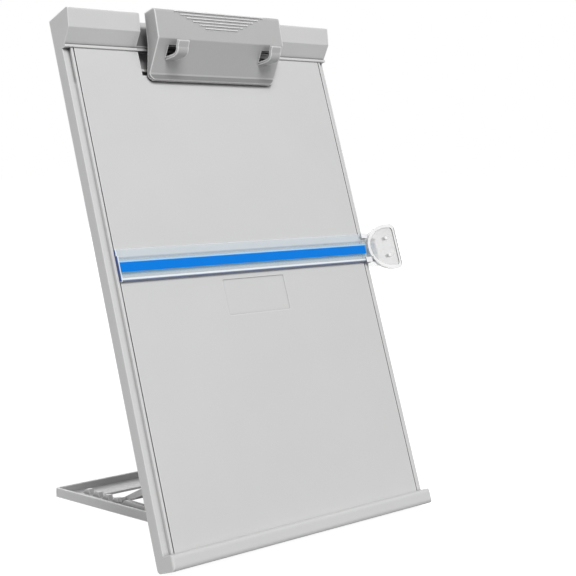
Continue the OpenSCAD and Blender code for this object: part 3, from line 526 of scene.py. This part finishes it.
# Painted shade for the board and the base, and painted highlight and shade for the clip: each a
# place and what its colour is multiplied by.
BOARD_SHADES = ((panel_groove, 0.1), (behind_clip, 0.06), (header_notch, 0.2))
CLIP_PAINTED_LIGHT = ((clip_rim, 1.22), (clip_lip, 0.5), (inside_clip, 0.05))
BASE_SHADES = ((base_rear_wall, 0.7),)


def dress(node, material):
    """Gives a carried-over CAD node its material."""
    mesh = NODES[node].data
    mesh.materials.clear()
    mesh.materials.append(material)


# ---------------------------------------------------------------------------
# Shapes


def grid_mesh(name, points, close_second=False):
    """A mesh of quads over a grid of points; the second direction may close on itself."""
    rows, cols = points.shape[:2]
    index = np.arange(rows * cols).reshape(rows, cols)
    if close_second:
        index = np.concatenate([index, index[:, :1]], 1)
    quads = np.stack([index[:-1, :-1], index[1:, :-1], index[1:, 1:], index[:-1, 1:]], -1)
    mesh = bpy.data.meshes.new(name)
    mesh.from_pydata(points.reshape(-1, 3).tolist(), [], quads.reshape(-1, 4).tolist())
    mesh.update()
    return mesh


def box_outline(left, right, low, high):
    """Outline of a rectangle."""
    return np.array([[left, low], [right, low], [right, high], [left, high]])


def thumb_outline(shrink):
    """Outline of a thumb plate, made smaller all round.

    Towards the board half an ellipse, (middle + a cos t, b sin t) with t from 90 to
    270 degrees; the outer side is straight between two quarter circles.
    """
    high = THUMB_H / 2 - shrink
    outer = THUMB_FAR - shrink
    middle = THUMB_FAR - THUMB_STRAIGHT
    bulge = middle - THUMB_NEAR - shrink
    corner = THUMB_CORNER - shrink / 2
    turn = np.radians(np.linspace(90, 270, 31))
    oval = np.stack([middle + bulge * np.cos(turn), high * np.sin(turn)], -1)
    quarter = np.radians(np.linspace(0, 90, 7))
    upper = np.stack([
        outer - corner + corner * np.cos(quarter), high - corner + corner * np.sin(quarter)], -1)
    lower = (upper * [1, -1])[::-1]
    return np.concatenate([oval, lower, upper]) - [0, THUMB_DROP]


def prism(first, second):
    """Points and faces of the solid between two rings of points that face each other."""
    count = len(first)
    here = np.arange(count)
    after = (here + 1) % count
    walls = np.stack([here, after, after + count, here + count], -1).tolist()
    caps = [here[::-1].tolist(), (here + count).tolist()]
    return np.concatenate([first, second]), walls + caps


def extruded(outline, back, front):
    """A plate of the guide from back to front; its outline is across, and up from the middle."""
    across, up = np.asarray(outline, float).T
    return prism(*(
        on_board(across, np.full_like(across, out), up + GUIDE_V) for out in (back, front)))


def joined_piece(name, meshes):
    """One object of several closed solids, with its faces turned outwards."""
    points, faces, count = [], [], 0
    for part, part_faces in meshes:
        points.append(part)
        faces += [[index + count for index in face] for face in part_faces]
        count += len(part)
    mesh = bpy.data.meshes.new(name)
    mesh.from_pydata(np.concatenate(points).tolist(), [], faces)
    shape = bmesh.new()
    shape.from_mesh(mesh)
    bmesh.ops.recalc_face_normals(shape, faces=shape.faces)
    shape.to_mesh(mesh)
    shape.free()
    piece = bpy.data.objects.new(name, mesh)
    bpy.context.scene.collection.objects.link(piece)
    return piece


# ---------------------------------------------------------------------------
# Operators


class COPYHOLDER_OT_board(bpy.types.Operator):
    """Finish the board's frame, panel, rear cover and screws"""
    bl_idname = "copyholder.board"
    bl_label = "Board"

    def execute(self, context):
        board = context.scene.copyholder_board
        dress("board_frame", moulded(
            "board_grey", board.grey, board.grain, shades=BOARD_SHADES))
        dress("front_panel", moulded(
            "panel_grey", board.grey, board.grain * 0.8, 0.55, shades=BOARD_SHADES[:2]))
        dress("rear_cover", moulded(
            "cover_grey", np.array(board.grey) * 0.96, board.grain * 1.3, 0.6))
        screw = drawn_steel("screw_steel", 0.42, 0.35)
        dress("cover_screws", screw)
        dress("bracket_screws", screw)
        return {"FINISHED"}


class COPYHOLDER_OT_clip(bpy.types.Operator):
    """Finish the paper clip with its bracket, pin and springs"""
    bl_idname = "copyholder.clip"
    bl_label = "Paper clip"

    def execute(self, context):
        board = context.scene.copyholder_board
        dress("clip_lever", moulded(
            "clip_grey", board.clip_grey, board.grain * 0.8, 0.45, painted_highlight=0.9, shades=CLIP_PAINTED_LIGHT))
        dress("clip_jaw_strip", soft_rubber("jaw_black", 0.05))
        dress("clip_bracket", drawn_steel("plated_sheet", 0.55, 0.4))
        steel = drawn_steel("steel", 0.5)
        for node in ("clip_pin", "clip_spring_left", "clip_spring_right"):
            dress(node, steel)
        return {"FINISHED"}


class COPYHOLDER_OT_guide(bpy.types.Operator):
    """Finish the sliding line guide"""
    bl_idname = "copyholder.guide"
    bl_label = "Line guide"

    def execute(self, context):
        guide = context.scene.copyholder_guide
        dress("guide_ruler", clear_plastic("clear_ruler", RULER_PAINTED_LIGHT, guide.tint))
        dress("guide_thumb_plate", clear_plastic(
            "clear_thumb_plate", THUMB_PAINTED_LIGHT, (0.82, 0.82, 0.82), 0.42))
        self.add_rear_jaw()
        self.add_stripe(printed_film("stripe_blue", guide.stripe))
        pad = moulded("pad_white", (0.86, 0.86, 0.84), 0.0006, 0.6)
        for node in ("guide_front_pad", "guide_back_pad"):
            dress(node, pad)
        # The studs are white plastic, with their white raised to full as a painted highlight.
        dress("guide_thumb_studs", moulded("stud_white", (1.0, 1.0, 1.0), 0.002, 0.2))
        steel = drawn_steel("guide_steel", 0.4)
        dress("guide_pin", steel)
        self.add_spring(steel)
        return {"FINISHED"}

    def add_spring(self, steel):
        """The hinge's spring: the part's spring, welded at its seams and in steel, in place of it.
        """
        node = NODES["guide_spring"]
        mesh = node.data.copy()
        mesh.transform(node.matrix_world)
        shape = bmesh.new()
        shape.from_mesh(mesh)
        bmesh.ops.remove_doubles(shape, verts=shape.verts, dist=0.000001)
        shape.to_mesh(mesh)
        shape.free()
        mesh.materials.clear()
        mesh.materials.append(steel)
        spring = bpy.data.objects.new("hinge_spring", mesh)
        bpy.context.scene.collection.objects.link(spring)
        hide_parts("guide_spring")
        start, end = on_board(0.0, np.array(SPRING_TURN), 0.0)
        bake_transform(spring)

    def add_rear_jaw(self):
        """The jaw behind the rail, a smaller thumb plate and the two ears of the hinge."""
        back, front = JAW_DEPTH
        parts = [
            (box_outline(JAW_IN, PIN_ACROSS + JAW_PAST_PIN, -RULER_H / 2, RULER_H / 2),
             back, front),
            (thumb_outline(REAR_SHRINK), back + CRISP / 2, front - CRISP / 2),
        ]
        meshes = [extruded(outline, low, high) for outline, low, high in parts]
        meshes += [self.ear(side * (EAR_OUT - EAR_H / 2)) for side in (-1, 1)]
        jaw = joined_piece("guide_rear_jaw", meshes)
        jaw.data.materials.append(clear_plastic("clear_rear_jaw", (), (0.90, 0.91, 0.92), 0.20))
        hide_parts("guide_back_jaw")
        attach(jaw, "guide_slider")

    def ear(self, middle):
        """Stadium shape round the pin: straight flanks from the jaw, then half a circle."""
        turn = np.radians(np.linspace(0, 180, 15))
        across = PIN_ACROSS + EAR_R * np.cos(turn)
        out = PIN_DEPTH + EAR_R * np.sin(turn)
        across = np.concatenate([across, across[[-1, 0]]])
        out = np.concatenate([out, np.full(2, JAW_DEPTH[1] - OVERLAP)])
        ends = np.array([-EAR_H / 2, EAR_H / 2]) + middle + GUIDE_V
        rings = [on_board(across, out, np.full_like(across, end)) for end in ends]
        return prism(*rings)

    def add_stripe(self, film):
        """The blue film in the ruler's face."""
        sunk, raised = STRIPE_FILM
        stripe = joined_piece("reading_stripe", [extruded(
            box_outline(*STRIPE_ENDS, *STRIPE), RULER_FRONT - sunk, RULER_FRONT + raised)])
        stripe.data.materials.append(film)
        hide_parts("guide_stripe")
        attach(stripe, "guide_arm")


class COPYHOLDER_OT_stand(bpy.types.Operator):
    """Finish the base, the prop and their pins"""
    bl_idname = "copyholder.stand"
    bl_label = "Stand"

    def execute(self, context):
        grain = context.scene.copyholder_board.grain
        grey = np.array(context.scene.copyholder_stand.grey)
        dress("base_frame", moulded("base_grey", grey, grain, painted_highlight=0.8, shades=BASE_SHADES))
        dress("prop_frame", moulded("prop_grey", grey * 0.97, grain))
        steel = drawn_steel("pin_steel", 0.5)
        for node in ("base_pins", "prop_pins"):
            dress(node, steel)
        return {"FINISHED"}


class COPYHOLDER_OT_stage(bpy.types.Operator):
    """Set up the floor, the soft light and the camera"""
    bl_idname = "copyholder.stage"
    bl_label = "Stage"

    # The camera, found from the photograph's straight edges: focal length and
    # principal point in pixels of a 576-pixel frame, angles in degrees.
    FRAME_PX = 576
    FOCAL_PX = 1369.98
    CENTRE_PX = (286.37, 223.08)
    YAW, PITCH, ROLL = -43.442, 2.996, -0.120
    DISTANCE = 0.91791
    TARGET = (0.027954, 0.016, 0.199283)

    # Soft lamps in metres, and how much the floor glows to the camera.
    KEY_PLACE = (-1.15, -2.95, 2.70)
    KEY_SIZE = 2.0
    SIDE_PLACE = (-1.7, 0.5, 0.35)
    SIDE_SIZE = 0.8
    FILL_PLACE = (1.3, 2.8, 1.7)
    FILL_SIZE = 2.5
    FLOOR_GLOW = 0.93

    def execute(self, context):
        scene = context.scene
        settings = scene.copyholder_stage
        self.add_floor()
        self.add_light(scene, settings)
        self.add_camera(scene)
        scene.view_settings.view_transform = "Standard"
        return {"FINISHED"}

    def add_floor(self):
        """A wide disc: rings of points whose radius grows, all at height zero."""
        rings = np.array([0.0, 0.5, 1.5, 4.0, 12.0])
        turn = np.linspace(0, 2 * math.pi, 48, endpoint=False)
        radius, angle = np.meshgrid(rings, turn, indexing="ij")
        points = np.stack([radius * np.cos(angle), radius * np.sin(angle), radius * 0], -1)
        mesh = grid_mesh("floor", points, close_second=True)
        floor = bpy.data.objects.new("floor", mesh)
        bpy.context.scene.collection.objects.link(floor)
        shop = new_material("pale_floor")
        cloud = shop.noise(3.0, 2.0)
        matt = shop.make("ShaderNodeBsdfDiffuse", {}, {
            "Color": shop.tones(cloud, (0.37, 0.37, 0.37), (0.39, 0.39, 0.39))})
        glow = shop.make("ShaderNodeEmission", {}, {
            "Color": (1, 1, 1, 1), "Strength": self.FLOOR_GLOW})
        lit = shop.make("ShaderNodeAddShader", {}, {0: matt, 1: glow})
        mesh.materials.append(shop.put_out(shop.make("ShaderNodeMixShader", {}, {
            0: shop.seen(), 1: matt, 2: lit})))

    def add_light(self, scene, settings):
        """An even sky that is seen as white, and three soft lamps."""
        shop = Shop(bpy.data.worlds.new("sky"), "ShaderNodeOutputWorld")
        even, white = (
            shop.make("ShaderNodeBackground", {}, {"Color": (1, 1, 1, 1), "Strength": strength})
            for strength in (settings.sky, 1.0))
        scene.world = shop.put_out(shop.make("ShaderNodeMixShader", {}, {
            0: shop.seen(), 1: even, 2: white}))
        self.add_lamp(scene, "key", settings.key, self.KEY_PLACE, self.KEY_SIZE)
        self.add_lamp(scene, "side", settings.side, self.SIDE_PLACE, self.SIDE_SIZE)
        self.add_lamp(scene, "fill", settings.fill, self.FILL_PLACE, self.FILL_SIZE)

    def add_lamp(self, scene, name, level, place, size):
        """A round soft lamp; level is how bright a white face turned to it looks."""
        reach = Vector(self.TARGET) - Vector(place)
        lamp = bpy.data.lights.new(name, "AREA")
        lamp.shape = "DISK"
        lamp.size = size
        lamp.energy = level * (math.pi * reach.length) ** 2
        light = bpy.data.objects.new(name, lamp)
        scene.collection.objects.link(light)
        light.location = place
        light.rotation_mode = "QUATERNION"
        light.rotation_quaternion = reach.to_track_quat("-Z", "Y")

    def add_camera(self, scene):
        """A camera that looks at the target from the photograph's angle and distance."""
        yaw, pitch, roll = (math.radians(a) for a in (self.YAW, self.PITCH, self.ROLL))
        forward = Vector((
            -math.sin(yaw) * math.cos(pitch), math.cos(yaw) * math.cos(pitch), -math.sin(pitch)))
        right = Vector((math.cos(yaw), math.sin(yaw), 0))
        up = right.cross(forward)
        side = math.cos(roll) * right + math.sin(roll) * up
        top = math.cos(roll) * up - math.sin(roll) * right
        data = bpy.data.cameras.new("camera")
        data.sensor_width = 36.0
        data.lens = self.FOCAL_PX * data.sensor_width / self.FRAME_PX
        half = self.FRAME_PX / 2
        data.shift_x = (half - self.CENTRE_PX[0]) / self.FRAME_PX
        data.shift_y = (self.CENTRE_PX[1] - half) / self.FRAME_PX
        camera = bpy.data.objects.new("camera", data)
        scene.collection.objects.link(camera)
        camera.matrix_world = Matrix.Translation(
            Vector(self.TARGET) - forward * self.DISTANCE
        ) @ Matrix((side, top, -forward)).transposed().to_4x4()
        scene.camera = camera


class COPYHOLDER_PT_panel(bpy.types.Panel):
    """Lists the copy holder's pieces and their settings"""
    bl_idname = "COPYHOLDER_PT_panel"
    bl_label = "Copy Holder"
    bl_space_type = "VIEW_3D"
    bl_region_type = "UI"
    bl_category = "Copy Holder"

    def draw(self, context):
        layout = self.layout
        scene = context.scene
        for operator, group, names in (
            ("copyholder.board", scene.copyholder_board, ("grey", "clip_grey", "grain")),
            ("copyholder.clip", None, ()),
            ("copyholder.guide", scene.copyholder_guide, ("tint", "stripe")),
            ("copyholder.stand", scene.copyholder_stand, ("grey",)),
            ("copyholder.stage", scene.copyholder_stage, ("key", "fill", "side", "sky")),
        ):
            box = layout.box()
            box.operator(operator)
            for name in names:
                box.prop(group, name)


SETTINGS = {
    "copyholder_board": BoardSettings,
    "copyholder_guide": GuideSettings,
    "copyholder_stand": StandSettings,
    "copyholder_stage": StageSettings,
}
OPERATORS = (
    COPYHOLDER_OT_stage,
    COPYHOLDER_OT_board,
    COPYHOLDER_OT_clip,
    COPYHOLDER_OT_guide,
    COPYHOLDER_OT_stand,
)


def register():
    for cls in (*SETTINGS.values(), *OPERATORS, COPYHOLDER_PT_panel):
        bpy.utils.register_class(cls)
    for name, group in SETTINGS.items():
        setattr(bpy.types.Scene, name, PointerProperty(type=group))


def unregister():
    for name in SETTINGS:
        delattr(bpy.types.Scene, name)
    for cls in reversed((*SETTINGS.values(), *OPERATORS, COPYHOLDER_PT_panel)):
        bpy.utils.unregister_class(cls)


def main():
    register()
    bpy.ops.copyholder.stage()
    bpy.ops.copyholder.board()
    bpy.ops.copyholder.clip()
    bpy.ops.copyholder.guide()
    bpy.ops.copyholder.stand()


if __name__ == "__main__":
    main()
